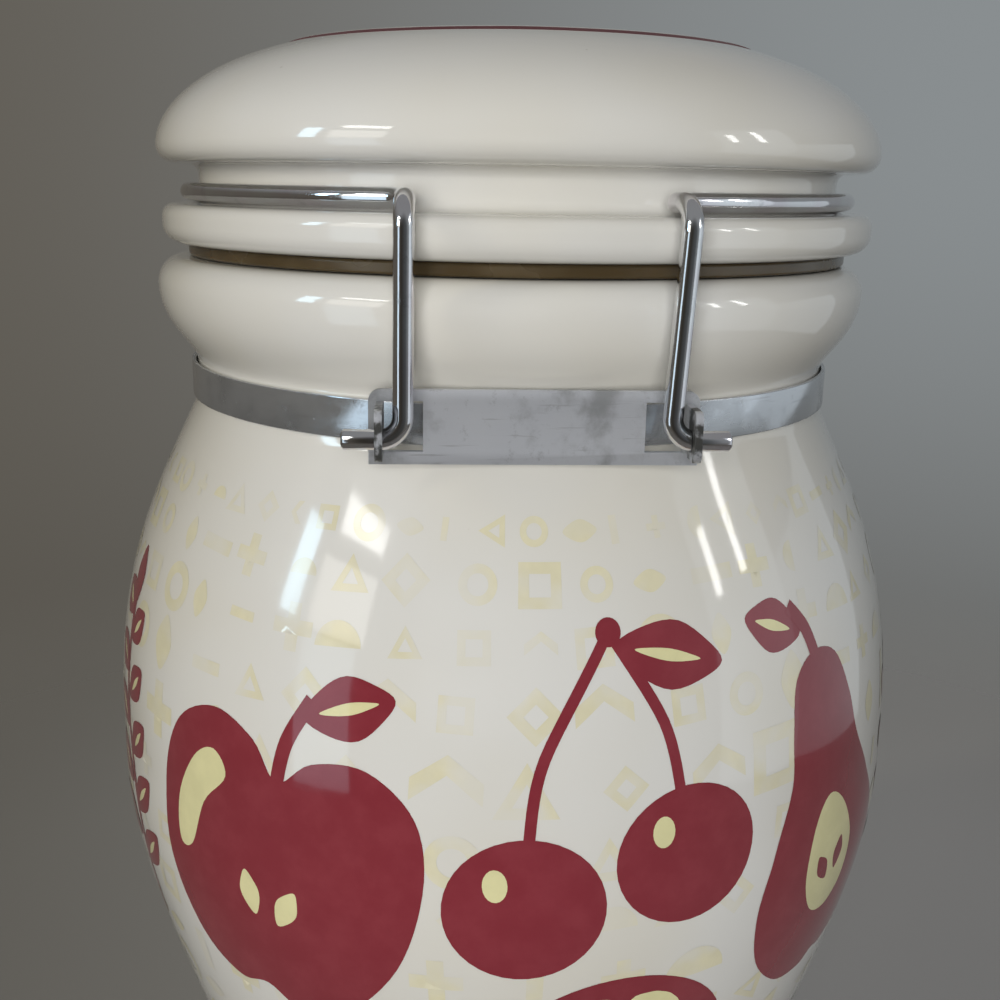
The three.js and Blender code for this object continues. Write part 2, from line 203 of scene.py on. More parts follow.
wires = {
    "radius": 0.00165, "bend": 0.003, "seat": 0.0003,
    "legSpread": 0.021, "legLean": 0.0017, "legDrift": 0.0011, "legBend": 0.0036,
    "kneeSpread": 0.0208, "kneeDrift": 0.00025, "kneeBend": 0.0045,
    "legGap": 0.00315, "pinHeight": 0.0033, "groovePlace": 0.0022, "stub": 0.0105, "earOuter": 0.0253,
    "catchRadius": 0.0014, "catchBend": 0.004, "catchGap": 0.0009, "barGap": 0.0003, "barInset": 0.0019,
    "leverLength": 0.036, "leverStub": 0.0003, "leverShut": 15, "leverOpen": 173, "leverKick": 10,
    "kickPlace": 0.018, "eyePlace": 0.008, "eyeRadius": 0.0035, "eyePitch": 0.0036, "loopWidth": 0.024,
    "endShare": 0.25, "sides": 24, "bendStep": 6, "ringStep": 3, "coilStep": 8,
}
# Steps of each curve, and sides of the turned pieces
fine = {"barrel": 32, "arc": 8, "under": 20, "over": 14, "dome": 36, "crown": 20, "hollow": 16, "sides": 192}
weld = 1e-7  # points nearer than this are one
rimHeight = jar["shoulderHeight"] + jar["neckHeight"] + jar["collarFlare"] + jar["collarRoll"]
flangeBase = rimHeight + lid["gasket"] + 2 * lid["seat"]
grooveBase = flangeBase + lid["flangeHeight"]
domeBase = grooveBase + lid["grooveHeight"]
domeSide = domeBase + lid["domeEdge"]
domeSwell = lid["domeHeight"] - lid["domeEdge"]
crownFoot = lid["crownRadius"] + lid["crownEdge"]
crownShare = (1 - (crownFoot / lid["domeRadius"]) ** lid["sidePower"]) ** (1 / lid["topPower"])
crownHeight = domeSide + domeSwell * crownShare + lid["crownStep"]
lidTop = crownHeight + lid["crownRise"]


# Outlines in radius and height
def cubic(start, pull, draw, end, steps):
    points = []
    for i in range(steps + 1):
        t = i / steps
        weights = ((1 - t) ** 3, 3 * (1 - t) ** 2 * t, 3 * (1 - t) * t ** 2, t ** 3)
        points.append(tuple(
            sum(w * p[axis] for w, p in zip(weights, (start, pull, draw, end))) for axis in range(2)))
    return points


def arc(centre, radius, begin, end):
    points = []
    steps = fine["arc"]
    for i in range(steps + 1):
        turn = rad(begin + (end - begin) * i / steps)
        points.append((centre[0] + radius * math.cos(turn), centre[1] + radius * math.sin(turn)))
    return points


def barrel(foot, belly, neck, base):
    middle = jar["bellyHeight"]
    low = middle - base
    high = jar["shoulderHeight"] - middle
    lower = cubic(
        (foot, base), (foot + (belly - foot) * pulls["footPull"], base + low * pulls["lowPull"]),
        (belly, base + low * pulls["lowDraw"]), (belly, middle), fine["barrel"])
    upper = cubic(
        (belly, middle), (belly, middle + high * pulls["highPull"]),
        (neck + (belly - neck) * pulls["neckDraw"], middle + high * pulls["highDraw"]),
        (neck, jar["shoulderHeight"]), fine["barrel"])
    return lower + upper[1:]


def collar():
    neck, rim, widest, flare = jar["neckRadius"], jar["rimRadius"], jar["collarRadius"], jar["collarFlare"]
    base = jar["shoulderHeight"] + jar["neckHeight"]
    waist = base + flare
    pull = pulls["rollPull"]
    out = neck + (widest - neck) * pulls["collarOut"]
    under = cubic(
        (neck, base), (out, base + flare * pulls["collarPull"]),
        (widest, base + flare * pulls["collarDraw"]), (widest, waist), fine["under"])
    over = cubic(
        (widest, waist), (widest, waist + jar["collarRoll"] * pull),
        (rim + (widest - rim) * pull, rimHeight), (rim, rimHeight), fine["over"])
    return under + over[1:]


jarOutside = barrel(jar["footRadius"], jar["bellyRadius"], jar["neckRadius"], jar["footRound"]) + collar()


def surfaceRadius(height):
    return float(np.interp(height, [p[1] for p in jarOutside], [p[0] for p in jarOutside]))


# Mesh makers
def addPiece(name, mesh, body, material, hides=()):
    piece = bpy.data.objects.new(name, mesh)
    bpy.context.collection.objects.link(piece)
    mesh.materials.clear()
    mesh.materials.append(material)
    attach(piece, body)
    if hides:
        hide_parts(*hides)
    return piece


def smoothFaces(mesh):
    mesh.polygons.foreach_set("use_smooth", [True] * len(mesh.polygons))


def smoothMesh(name, points, faces):
    mesh = bpy.data.meshes.new(name)
    mesh.from_pydata([tuple(p) for p in points], [], faces)
    smoothFaces(mesh)
    mesh.update()
    return mesh


def lathe(name, outline, shift=0.0):
    sides = fine["sides"]
    points, rings = [], []
    for radius, height in outline:
        if radius < weld:
            rings.append([len(points)])
            points.append((shift, 0, height))
            continue
        rings.append([len(points) + i for i in range(sides)])
        for i in range(sides):
            turn = 2 * math.pi * i / sides
            points.append((shift + radius * math.cos(turn), radius * math.sin(turn), height))
    faces = []
    for low, high in zip(rings, rings[1:]):
        for i in range(sides):
            j = (i + 1) % sides
            if len(low) == 1:
                faces.append((low[0], high[j], high[i]))
            elif len(high) == 1:
                faces.append((low[i], low[j], high[0]))
            else:
                faces.append((low[i], low[j], high[j], high[i]))
    return smoothMesh(name, points, faces)


def bent(corners):  # corners with a bend radius become arcs
    stations = []
    for i, (spot, bend) in enumerate(corners):
        spot = Vector(spot)
        if not bend:
            stations.append(spot)
            continue
        into = (spot - Vector(corners[i - 1][0])).normalized()
        out = (Vector(corners[i + 1][0]) - spot).normalized()
        turn = into.angle(out)
        start = spot - into * bend * math.tan(turn / 2)
        inward = (out - into * out.dot(into)).normalized()
        steps = max(2, math.ceil(turn / rad(wires["bendStep"])))
        for step in range(steps + 1):
            angle = turn * step / steps
            stations.append(start + into * bend * math.sin(angle) + inward * bend * (1 - math.cos(angle)))
    return stations


def tube(name, stations, radius):
    sides = wires["sides"]
    count = len(stations)
    tangents = []
    for i in range(count):
        before = stations[i] - stations[i - 1] if i else stations[1] - stations[0]
        after = stations[i + 1] - stations[i] if i < count - 1 else before
        tangents.append((before.normalized() + after.normalized()).normalized())
    side = tangents[0].orthogonal().normalized()
    points, rings = [], []
    chamfer = radius * wires["endShare"]  # the cut ends are slightly rounded

    def ring(spot, tangent, side, size):
        up = tangent.cross(side)
        rings.append([len(points) + k for k in range(sides)])
        for k in range(sides):
            turn = 2 * math.pi * k / sides
            points.append(spot + (side * math.cos(turn) + up * math.sin(turn)) * size)

    ring(stations[0], tangents[0], side, radius - chamfer)
    for i, (spot, tangent) in enumerate(zip(stations, tangents)):
        side = (side - tangent * side.dot(tangent)).normalized()
        if i == 0:
            spot = spot + tangent * chamfer
        if i == count - 1:
            spot = spot - tangent * chamfer
        ring(spot, tangent, side, radius)
    ring(stations[-1], tangents[-1], side, radius - chamfer)
    faces = []
    for low, high in zip(rings, rings[1:]):
        for k in range(sides):
            j = (k + 1) % sides
            faces.append((low[k], low[j], high[j], high[k]))
    faces.append(tuple(reversed(rings[0])))
    faces.append(tuple(rings[-1]))
    return smoothMesh(name, points, faces)


# Cream glaze, with a slightly wavy, glossy skin, rare specks and one dark kiln burn on the shoulder
glaze = {
    "colour": (0.725, 0.715, 0.68), "warm": (0.695, 0.67, 0.60), "toneSize": 0.05, "toneRange": (0.35, 0.7),
    "speck": (0.30, 0.24, 0.17), "speckSize": 0.009, "speckEdge": (0.02, 0.045), "speckShare": 0.7,
    "rareSize": 0.011, "rareRange": (0.62, 0.68),
    "roughness": 0.07, "smudge": 0.07, "smudgeSize": 0.018, "smudgeRange": (0.45, 0.75),
    "wave": 0.00010, "waveSize": 0.03, "peel": 0.000004, "peelSize": 0.0012,
    "coat": 0.4, "coatRoughness": 0.03,
    "burn": (0.0196, -0.0741, 0.138), "burnColour": (0.03, 0.025, 0.03), "burnEdge": (0.0007, 0.00105),
    "burnShare": 0.85, "ragged": 0.0006, "raggedSize": 0.0008,
}


def glazeParts(shader):
    tone = shader.noise(glaze["toneSize"], detail=2.0).ramp(*glaze["toneRange"])
    colour = shader.blend(tone, glaze["colour"], glaze["warm"])
    rare = shader.noise(glaze["rareSize"], detail=0.0).ramp(*glaze["rareRange"])
    grains = shader.cells(glaze["speckSize"], "Distance").ramp(*glaze["speckEdge"], toLow=1.0, toHigh=0.0)
    colour = shader.blend(grains * rare * glaze["speckShare"], colour, glaze["speck"])
    smudge = shader.noise(glaze["smudgeSize"], detail=5.0, roughness=0.6).ramp(*glaze["smudgeRange"])
    roughness = smudge * glaze["smudge"] + glaze["roughness"]
    wave = shader.bump(shader.noise(glaze["waveSize"], detail=1.0), glaze["wave"])
    skin = shader.bump(shader.noise(glaze["peelSize"], detail=2.0), glaze["peel"], wave)
    return colour, roughness, skin


def finishGlaze(shader, colour, roughness, skin, coat=glaze["coat"]):
    return shader.finish(
        Base_Color=colour, Roughness=roughness, Normal=skin,
        Coat_Weight=coat, Coat_Roughness=glaze["coatRoughness"])


def makeJarGlaze():
    shader = Shader("jarGlaze")
    colour, roughness, skin = glazeParts(shader)
    away = shader.node(
        "ShaderNodeVectorMath", {"operation": "DISTANCE"}, {0: shader.place(), 1: glaze["burn"]}, out="Value")
    away = away + shader.noise(glaze["raggedSize"], detail=2.0) * glaze["ragged"]
    burn = away.ramp(*glaze["burnEdge"], toLow=glaze["burnShare"], toHigh=0.0)
    colour = shader.blend(burn, colour, glaze["burnColour"])
    return finishGlaze(shader, colour, roughness, skin)


# A dark-red line, dull and a little uneven, runs round the step of the lid's crown
lidLine = {
    "colour": (0.10, 0.006, 0.010), "roughness": 0.4, "inset": 0.0005, "overlap": 0.0004,
    "edge": 0.0001, "waver": 0.0003, "waverSize": 0.01,
}


def makeLidGlaze():
    shader = Shader("lidGlaze")
    colour, roughness, skin = glazeParts(shader)
    x, y, z = shader.split(shader.place())
    across = ((x - lid["shift"]) ** 2.0 + y ** 2.0) ** 0.5
    across = across + shader.noise(lidLine["waverSize"], detail=1.0) * lidLine["waver"]
    inner = lid["crownRadius"] + lidLine["inset"]
    outer = crownFoot + lidLine["overlap"]
    edge = lidLine["edge"]
    line = across.ramp(inner - edge, inner + edge)
    line = line * across.ramp(outer - edge, outer + edge, toLow=1.0, toHigh=0.0)
    line = line * (z > crownHeight - 2 * lid["crownStep"])
    colour = shader.blend(line, colour, lidLine["colour"])
    roughness = roughness + line * lidLine["roughness"]
    return finishGlaze(shader, colour, roughness, skin, glaze["coat"] * (1 - line))


# Zinc-plated sheet: the plates are duller and blotched, the band is shinier
sheetSteel = {
    "plate": {
        "colour": (0.66, 0.675, 0.715), "stain": (0.33, 0.335, 0.345), "stains": 0.9,
        "roughness": 0.36, "metallic": 0.6},
    "band": {
        "colour": (0.56, 0.58, 0.61), "stain": (0.38, 0.39, 0.405), "stains": 0.6,
        "roughness": 0.13, "metallic": 0.85},
}
# What both have: clouds of stain, pits, scratches, zinc spangle and brushing, and painted shade in blotches
# on the ears
zinc = {
    "cloudSize": 0.017, "stainRange": (0.47, 0.62), "stainRough": 0.14, "cloudDepth": 0.00004,
    "pitSize": 0.003, "pitRange": (0.56, 0.68), "pitShare": 0.4, "pitRough": 0.1,
    "scratchSize": 0.0014, "scratchSquash": (0.12, 0.12, 2.5), "scratchRange": (0.6, 0.72),
    "scratchShare": 0.5,
    "spangle": (0.68, 0.69, 0.70), "spangleSize": 0.003, "spangleShare": 0.12, "spangleRough": 0.05,
    "brushSize": 0.0016, "brushSquash": (0.15, 0.15, 3.0), "brushRough": 0.08, "brushDepth": 0.000014,
    # painted shade for the ears: a dark colour laid on in blotches
    "earShade": (0.10, 0.10, 0.095), "earShadeSize": 0.0035, "earShadeRange": (0.36, 0.5),
    "earFrom": 0.0706, "earTo": 0.0716, "evenRough": 0.06,
}


def makeSheetSteel(name, spec):
    shader = Shader(name)
    cloud = shader.noise(zinc["cloudSize"], detail=8.0, roughness=0.6)
    stain = cloud.ramp(*zinc["stainRange"])
    pits = shader.noise(zinc["pitSize"], detail=6.0, roughness=0.75).ramp(*zinc["pitRange"])
    scratch = shader.noise(zinc["scratchSize"], detail=3.0, roughness=0.6, squash=zinc["scratchSquash"])
    scratch = scratch.ramp(*zinc["scratchRange"])
    shade = shader.split(shader.cells(zinc["spangleSize"], "Color"))[0]
    brush = shader.noise(zinc["brushSize"], detail=4.0, roughness=0.7, squash=zinc["brushSquash"])
    y = shader.split(shader.place())[1]
    # painted shade: the ears that stand out past the plate's face are darkened in blotches
    earShade = shader.noise(zinc["earShadeSize"], detail=4.0, roughness=0.6).ramp(*zinc["earShadeRange"])
    earShade = earShade * (y * y).ramp(zinc["earFrom"] ** 2, zinc["earTo"] ** 2)
    colour = shader.blend(stain * spec["stains"], spec["colour"], spec["stain"])
    colour = shader.blend(pits * zinc["pitShare"], colour, spec["stain"])
    colour = shader.blend(scratch * zinc["scratchShare"], colour, spec["stain"])
    colour = shader.blend(shade * zinc["spangleShare"], colour, zinc["spangle"])
    colour = shader.blend(earShade, colour, zinc["earShade"])
    roughness = stain * zinc["stainRough"] + pits * zinc["pitRough"] + shade * zinc["spangleRough"]
    roughness = roughness + brush * zinc["brushRough"] + (spec["roughness"] - zinc["evenRough"])
    normal = shader.bump(cloud, zinc["cloudDepth"], shader.bump(brush, zinc["brushDepth"]))
    return shader.finish(
        Base_Color=colour, Roughness=roughness, Metallic=spec["metallic"], Normal=normal)


# Bright plated wire with a fine grain, light dents and light scuffs
brightWire = {
    "colour": (0.70, 0.705, 0.72), "tint": (0.66, 0.63, 0.66), "tintSize": 0.012, "tintRange": (0.4, 0.65),
    "dull": (0.45, 0.45, 0.46), "scuffSize": 0.004, "scuffRange": (0.56, 0.78), "scuffShare": 0.6,
    "roughness": 0.06, "scuffRough": 0.2, "grainRough": 0.04,
    "grainSize": 0.0006, "grainDepth": 0.000004, "dentSize": 0.005, "dentDepth": 0.00005,
}


def makeBrightWire(spec):
    shader = Shader("brightWire")
    scuff = shader.noise(spec["scuffSize"], detail=5.0, roughness=0.65).ramp(*spec["scuffRange"])
    tint = shader.noise(spec["tintSize"], detail=2.0).ramp(*spec["tintRange"])
    grain = shader.noise(spec["grainSize"], detail=3.0, roughness=0.6)
    colour = shader.blend(tint, spec["colour"], spec["tint"])
    colour = shader.blend(scuff * spec["scuffShare"], colour, spec["dull"])
    roughness = scuff * spec["scuffRough"] + grain * spec["grainRough"] + spec["roughness"]
    normal = shader.bump(grain, spec["grainDepth"])
    normal = shader.bump(shader.noise(spec["dentSize"], detail=2.0), spec["dentDepth"], normal)
    return shader.finish(Base_Color=colour, Roughness=roughness, Metallic=1.0, Normal=normal)


# Aged olive-brown gasket rubber, slightly translucent
gasketRubber = {
    "colour": (0.066, 0.045, 0.020), "pale": (0.11, 0.08, 0.04), "paleShare": 0.7,
    "mottleSize": 0.011, "mottleRange": (0.4, 0.8), "roughness": 0.2, "mottleRough": 0.12,
    "pitSize": 0.0006, "pitDepth": 0.00002, "glow": 0.2, "glowReach": (0.002, 0.0012, 0.0005),
}


def makeGasketRubber(spec):
    shader = Shader("gasketRubber")
    mottle = shader.noise(spec["mottleSize"], detail=3.0, roughness=0.5).ramp(*spec["mottleRange"])
    colour = shader.blend(mottle * spec["paleShare"], spec["colour"], spec["pale"])
    roughness = mottle * spec["mottleRough"] + spec["roughness"]
    normal = shader.bump(shader.noise(spec["pitSize"], detail=3.0, roughness=0.7), spec["pitDepth"])
    return shader.finish(
        Base_Color=colour, Roughness=roughness, Normal=normal,
        Subsurface_Weight=spec["glow"], Subsurface_Radius=spec["glowReach"])


jarGlaze = makeJarGlaze()
lidGlaze = makeLidGlaze()
plateSteel = makeSheetSteel("plateSteel", sheetSteel["plate"])
bandSteel = makeSheetSteel("bandSteel", sheetSteel["band"])
bright = makeBrightWire(brightWire)
rubber = makeGasketRubber(gasketRubber)
print("materials made")


# Jar and lid as fine turned surfaces
def makeJar():
    ringInner = jar["footRadius"] - jar["footRound"] - jar["footRing"]
    inner = jar["mouthRadius"] + jar["rimRound"]
    bowlFoot = jar["footRadius"] - jar["wall"]
    bowlBase = jar["floor"] + jar["floorRound"]
    bowl = barrel(bowlFoot, jar["bellyRadius"] - jar["wall"], jar["mouthRadius"], bowlBase)
    outline = [(0, jar["footRecess"]), (ringInner, jar["footRecess"]), (ringInner + jar["footRecess"], 0)]
    outline += arc((jar["footRadius"] - jar["footRound"], jar["footRound"]), jar["footRound"], -90, 0)
    outline += jarOutside[1:]
    outline += arc((inner, rimHeight - jar["rimRound"]), jar["rimRound"], 90, 180)
    outline += bowl[::-1]
    outline += arc((bowlFoot - jar["floorRound"], bowlBase), jar["floorRound"], 0, -90)[1:]
    outline += [(0, jar["floor"])]
    addPiece("jar_glazed", lathe("jar_glazed", outline), "jar", jarGlaze, ["jar_body"])


def makeLid():
    plugFoot = flangeBase - lid["plugDepth"]
    plugTip = lid["plugRadius"] - lid["plugTaper"]
    plugInner = plugTip - lid["plugWall"]
    roof = lidTop - lid["wall"]
    hollow = lid["grooveRadius"] - lid["wall"]
    fillet = lid["grooveFillet"]
    side = lid["flangeRadius"] - lid["flangeRound"]
    under = lid["flangeRadius"] - lid["underRound"]
    sweep = math.acos((crownFoot / lid["domeRadius"]) ** (lid["sidePower"] / 2))
    dome = []
    for i in range(fine["dome"] + 1):
        turn = sweep * i / fine["dome"]
        reach = math.cos(turn) ** (2 / lid["sidePower"])
        rise = math.sin(turn) ** (2 / lid["topPower"])
        dome.append((lid["domeRadius"] * reach, domeSide + domeSwell * rise))
    crown, pull = lid["crownRadius"], lid["crownPullShare"]
    dome += cubic(
        (crown, crownHeight), (crown * pull, crownHeight + lid["crownRise"] * pull),
        (crown * lid["crownDrawShare"], lidTop), (0, lidTop), fine["crown"])
    outline = [(0, roof)]
    outline += cubic(
        (hollow / 2, roof), (hollow, roof), (hollow, domeBase), (hollow, grooveBase), fine["hollow"])
    outline += [(plugInner, flangeBase)]
    outline += arc((plugInner + lid["plugRound"], plugFoot + lid["plugRound"]), lid["plugRound"], 180, 270)
    outline += arc((plugTip - lid["plugRound"], plugFoot + lid["plugRound"]), lid["plugRound"], -90, 0)
    outline += [(lid["plugRadius"], flangeBase)]
    outline += arc((under, flangeBase + lid["underRound"]), lid["underRound"], -90, 0)
    outline += arc((side, grooveBase - lid["flangeRound"]), lid["flangeRound"], 0, 90)
    outline += arc((lid["grooveRadius"] + fillet, grooveBase + fillet), fillet, 270, 180)
    outline += arc((lid["grooveRadius"] + fillet, domeBase - fillet), fillet, 180, 90)
    outline += arc((lid["domeRadius"] - lid["domeEdge"], domeSide), lid["domeEdge"], -90, 0)[:-1]
    outline += dome
    mesh = lathe("lid_glazed", outline, shift=lid["shift"])
    addPiece("lid_glazed", mesh, "lid", lidGlaze, ["lid"])


def makeGasket():
    low = rimHeight + lid["seat"]
    high = low + lid["gasket"]
    bore = lid["gasketBore"]
    rim = lid["gasketRadius"] - lid["gasketRound"]
    outline = [(bore, low)]
    outline += arc((rim, low + lid["gasketRound"]), lid["gasketRound"], -90, 0)
    outline += arc((rim, high - lid["gasketRound"]), lid["gasketRound"], 0, 90)
    outline += [(bore, high), (bore, low)]
    mesh = lathe("gasket_rubber", outline, shift=lid["shift"])
    addPiece("gasket_rubber", mesh, "lid", rubber, ["gasket"])


makeJar()
makeLid()
makeGasket()
print("ceramic and gasket made")


# Wires along the same lines as the solids, with round sections and eased ends
pinReach = math.sqrt(jar["collarRadius"] ** 2 - wires["legSpread"] ** 2) + wires["radius"] + wires["legGap"]
pinLevel = jar["shoulderHeight"] + wires["pinHeight"]
ringLevel = grooveBase + wires["groovePlace"]
ringRadius = lid["grooveRadius"] + wires["seat"] + wires["radius"]


def makeLidWire():
    legTop = wires["legSpread"] + wires["legLean"] / 2

    def kneeAngle(side):
        return math.asin((side * wires["kneeSpread"] + wires["kneeDrift"] - lid["shift"]) / ringRadius)

    def endAngle(side):
        return kneeAngle(side) + side * wires["kneeBend"] / ringRadius

    def leg(side):
        turn = endAngle(side)
        knee = side * wires["kneeSpread"] + wires["kneeDrift"]
        run = (knee - lid["shift"] - ringRadius * math.sin(turn)) / math.cos(turn)
        reach = ringRadius * math.cos(turn) - run * math.sin(turn)
        return [
            ((side * (wires["earOuter"] + wires["stub"] / 2), -pinReach, pinLevel), 0),
            ((side * wires["legSpread"], -pinReach, pinLevel), wires["legBend"]),
            ((side * legTop + wires["legDrift"], -pinReach, ringLevel), wires["kneeBend"]),
            ((knee, -reach, ringLevel), wires["kneeBend"]),
        ]

    begin = endAngle(1)
    end = endAngle(-1) + 2 * math.pi
    steps = round((end - begin) / rad(wires["ringStep"]))
    corners = leg(1)
    for i in range(steps + 1):
        turn = begin + (end - begin) * i / steps
        spot = (lid["shift"] + ringRadius * math.sin(turn), -ringRadius * math.cos(turn), ringLevel)
        corners.append((spot, 0))
    corners += leg(-1)[::-1]
    mesh = tube("lid_wire_bright", bent(corners), wires["radius"])
    addPiece("lid_wire_bright", mesh, "lid", bright, ["lid_wire"])


def eyeAt(angle):
    return (
        pinReach + wires["eyePlace"] * math.sin(angle) - wires["eyeRadius"] * math.cos(angle),
        pinLevel - wires["eyePlace"] * math.cos(angle) - wires["eyeRadius"] * math.sin(angle))


def turned(stations, angle, y, z):  # from a wire's own frame to its place at rest
    turn = Matrix.Rotation(angle, 4, "X")
    return [turn @ spot + Vector((0, y, z)) for spot in stations]


def makeLever():
    kick = math.tan(rad(wires["leverKick"]))

    def tongue(x, along):
        return (x, max(along - wires["kickPlace"], 0) * kick, -along)

    loop = wires["loopWidth"] / 2

    def arm(side):
        corners = [
            ((side * (wires["earOuter"] + wires["leverStub"]), 0, 0), 0),
            ((side * wires["legSpread"], 0, 0), wires["bend"]),
        ]
        steps = round(360 / wires["coilStep"])
        for i in range(steps + 1):
            turn = 2 * math.pi * i / steps
            corners.append(((
                side * (wires["legSpread"] - wires["eyePitch"] * i / steps),
                wires["eyeRadius"] * (math.cos(turn) - 1),
                -wires["eyePlace"] - wires["eyeRadius"] * math.sin(turn)), 0))
        inner = side * (wires["legSpread"] - wires["eyePitch"])
        corners.append((tongue(inner, wires["eyePlace"] + wires["bend"]), wires["bend"]))
        corners.append((tongue(side * loop, wires["kickPlace"]), 2 * wires["bend"]))
        return corners

    tipSteps = round(180 / wires["coilStep"])
    tip = []
    for i in range(tipSteps + 1):
        turn = math.pi * i / tipSteps
        tip.append((tongue(loop * math.cos(turn), wires["leverLength"] - loop + loop * math.sin(turn)), 0))
    stations = bent(arm(1) + tip + arm(-1)[::-1])
    stations = turned(stations, rad(wires["leverOpen"]), pinReach, pinLevel)
    mesh = tube("lever_bright", stations, wires["radius"])
    addPiece("lever_bright", mesh, "lever", bright, ["clamp_lever"])


def makeCatch():
    shutEye = eyeAt(rad(wires["leverShut"]))
    bar = wires["catchRadius"]
    shutBar = (
        lid["grooveRadius"] + wires["barInset"] + bar,
        ringLevel + wires["radius"] + wires["barGap"] + bar)
    length = math.dist(shutEye, shutBar)
    openEye = eyeAt(rad(wires["leverOpen"]))
    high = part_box("clamp_catch")[1]
    # the hanging angle comes from how far out the solid reaches
    hang = math.asin(min(1, (high.y - bar - openEye[0]) / length))
    spread = wires["earOuter"] + wires["catchGap"] + bar
    pinEnd = wires["legSpread"] - wires["eyePitch"] - wires["radius"] - wires["barGap"]

    def leg(side):
        return [
            ((side * pinEnd, 0, 0), 0),
            ((side * spread, 0, 0), wires["bend"]),
            ((side * spread, 0, -length), wires["catchBend"]),
        ]

    stations = turned(bent(leg(1) + leg(-1)[::-1]), hang, *openEye)
    mesh = tube("catch_bright", stations, bar)
    addPiece("catch_bright", mesh, "catch", bright, ["clamp_catch"])


makeLidWire()
makeLever()
makeCatch()
print("wires made")


# Sheet-steel pieces: the solids with softly broken edges
sheet = {"bevel": 0.00018, "segments": 3, "sharp": 25, "flat": 1}


def makeSheetPiece(name, node, body, steel):
    mesh = nodes[node].data.copy()
    mesh.name = name
    shape = bmesh.new()
    shape.from_mesh(mesh)
    bmesh.ops.remove_doubles(shape, verts=shape.verts, dist=weld)
    bmesh.ops.dissolve_limit(shape, angle_limit=rad(sheet["flat"]), verts=shape.verts, edges=shape.edges)
    shape.to_mesh(mesh)
    shape.free()
    piece = addPiece(name, mesh, body, steel, [node])
    bevel = piece.modifiers.new("edges", "BEVEL")
    bevel.width = sheet["bevel"]
    bevel.segments = sheet["segments"]
    bevel.limit_method = "ANGLE"
    bevel.angle_limit = rad(sheet["sharp"])
    bevel.harden_normals = True
    smoothFaces(mesh)
    bpy.context.view_layer.update()
    fixed = bpy.data.meshes.new_from_object(piece.evaluated_get(bpy.context.evaluated_depsgraph_get()))
    piece.modifiers.clear()
    piece.data = fixed


makeSheetPiece("strap_band", "neck_strap", "jar", bandSteel)
makeSheetPiece("hinge_plate", "hinge_bracket", "jar", plateSteel)
makeSheetPiece("latch_plate", "latch_bracket", "jar", plateSteel)
print("sheet steel made")


# Print under the glaze: fruit and leaves in crimson over a scatter of pale yellow shapes
fruitPrint = {
    "crimson": (0.225, 0.026, 0.038),
    "yellow": (0.72, 0.68, 0.38),
    "faint": (0.70, 0.655, 0.46),
    "cell": 0.0025,
    "lift": 0.00007,
    "layers": 3,  # parts of a motif that cross lie one above the other
    "layer": 0.000012,
    "faintLift": 0.00004,
    "cut": 1e-8,
    "loopSteps": 6,
    "smallSteps": 4,
    "strokeSteps": 8,
}
# Uneven ink: pale patches in every colour, and worn ones in the pale shapes
ink = {
    "crimsonDrift": 0.35, "yellowDrift": 0.3, "faintDrift": 0.3, "faintWear": 0.75,
    "patchSize": 0.006, "patchRange": (0.35, 0.75), "paler": 1.25, "lighter": 0.02,
    "wearSize": 0.016, "wearRange": (0.38, 0.62),
}
mm = 0.001


def smoothSpan(a, b, c, d, steps):  # from the second point towards the third
    span = []
    for step in range(steps):
        t = step / steps
        span.append(0.5 * (
            2 * b + (c - a) * t + (2 * a - 5 * b + 4 * c - d) * t ** 2
            + (3 * b - a - 3 * c + d) * t ** 3))
    return span


def smoothLoop(points, steps=fruitPrint["loopSteps"]):  # closed curve through given points
    count = len(points)
    loop = []
    for i in range(count):
        loop += smoothSpan(*(Vector(points[(i + k) % count]) for k in (-1, 0, 1, 2)), steps)
    return loop


def mirrored(points):  # right half, top to bottom, completed on the left
    return points + [(-x, y) for x, y in reversed(points) if x]


def disc(x, y, radius, count=24, squeeze=1.0):
    return [Vector((
        x + radius * squeeze * math.cos(2 * math.pi * i / count),
        y + radius * math.sin(2 * math.pi * i / count))) for i in range(count)]


def spun(points, turn, x=0, y=0):
    c, s = math.cos(rad(turn)), math.sin(rad(turn))
    return [(x + c * a - s * b, y + s * a + c * b) for a, b in points]


def leaf(x, y, length, width, turn):
    outline = [
        (0, 0), (0.25, 0.36), (0.55, 0.5), (0.85, 0.26),
        (1, 0), (0.85, -0.26), (0.55, -0.5), (0.25, -0.36)]
    placed = spun([(a * length, b * width) for a, b in outline], turn, x, y)
    return smoothLoop(placed, fruitPrint["smallSteps"])


def stroke(points, width):  # a line of even width through smooth points
    line = []
    ends = [points[0]] + list(points) + [points[-1]]
    for i in range(len(points) - 1):
        line += smoothSpan(*(Vector(p) for p in ends[i:i + 4]), fruitPrint["strokeSteps"])
    line.append(Vector(points[-1]))
    left, right = [], []
    for i, spot in enumerate(line):
        along = (line[min(i + 1, len(line) - 1)] - line[max(i - 1, 0)]).normalized()
        side = Vector((-along.y, along.x)) * width / 2
        left.append(spot + side)
        right.append(spot - side)
    return left + right[::-1]


def block(x, y, wide, high, turn=0.0):
    corners = [(-wide / 2, -high / 2), (wide / 2, -high / 2), (wide / 2, high / 2), (-wide / 2, high / 2)]
    return [Vector(spot) for spot in spun(corners, turn, x, y)]


